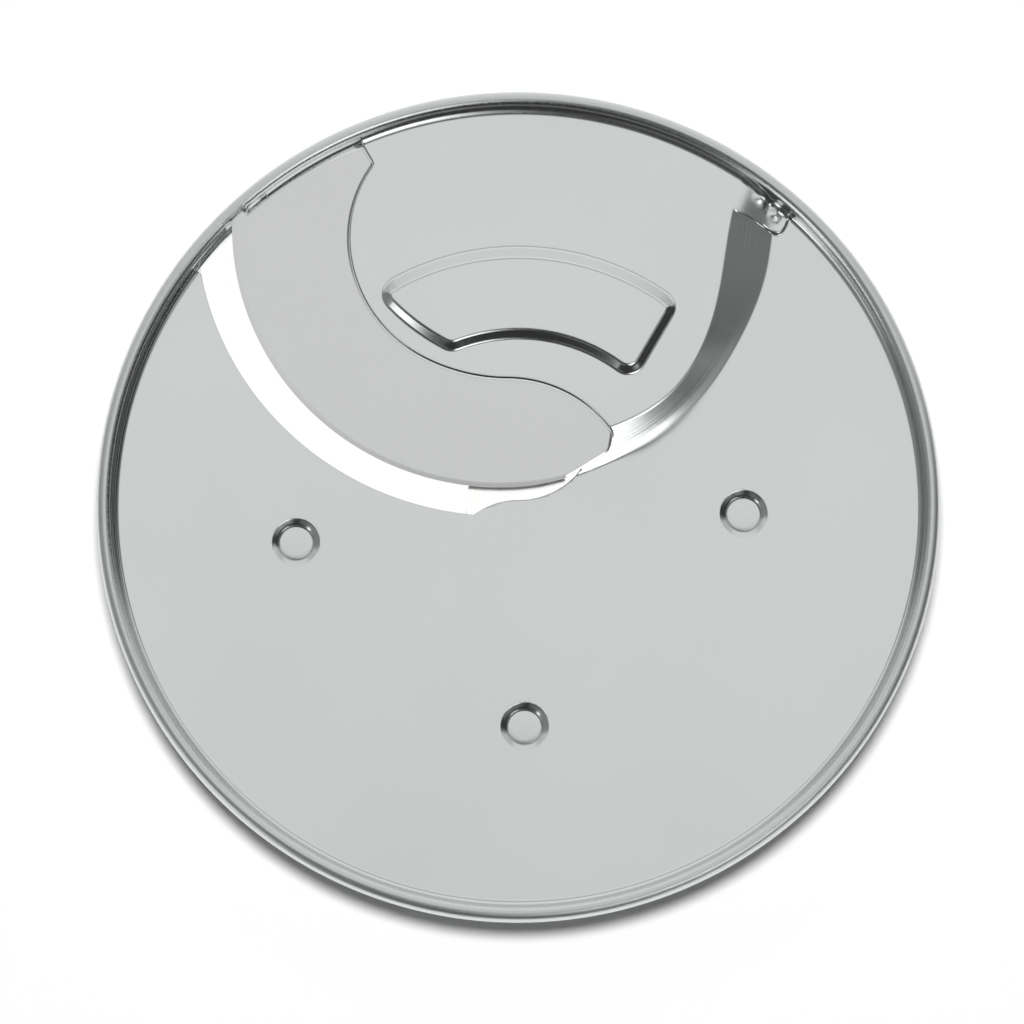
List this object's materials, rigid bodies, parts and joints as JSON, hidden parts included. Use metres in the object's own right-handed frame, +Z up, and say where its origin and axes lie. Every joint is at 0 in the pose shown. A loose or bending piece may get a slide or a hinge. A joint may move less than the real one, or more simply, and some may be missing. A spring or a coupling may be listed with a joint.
{
  "type": "food processor slicing disc",
  "caption": "Round pressed-steel slicing disc with a rolled rim, a curved blade over a feed slot, a ramp and a moulded hub with a stem socket underneath.",
  "frame": {"origin": "centre of the hub's foot, where the disc's axis meets the surface it stands on", "axes": "+Z up along the disc's axis of rotation, out of the slicing face; +Y towards the raised plateau behind the blade; +X to the right"},
  "size_m": [0.2, 0.2, 0.021],
  "materials": {
    "plate_steel": "satin",
    "blade_steel": "ground satin",
    "rivet_steel": "satin",
    "hub_plastic": "fine moulded matte"
  },
  "bodies": {
    "root": {"disc_plate": "plate_steel", "slicing_blade": "blade_steel", "hub_rivets": "rivet_steel", "hub": "hub_plastic"}
  },
  "joints": []
}
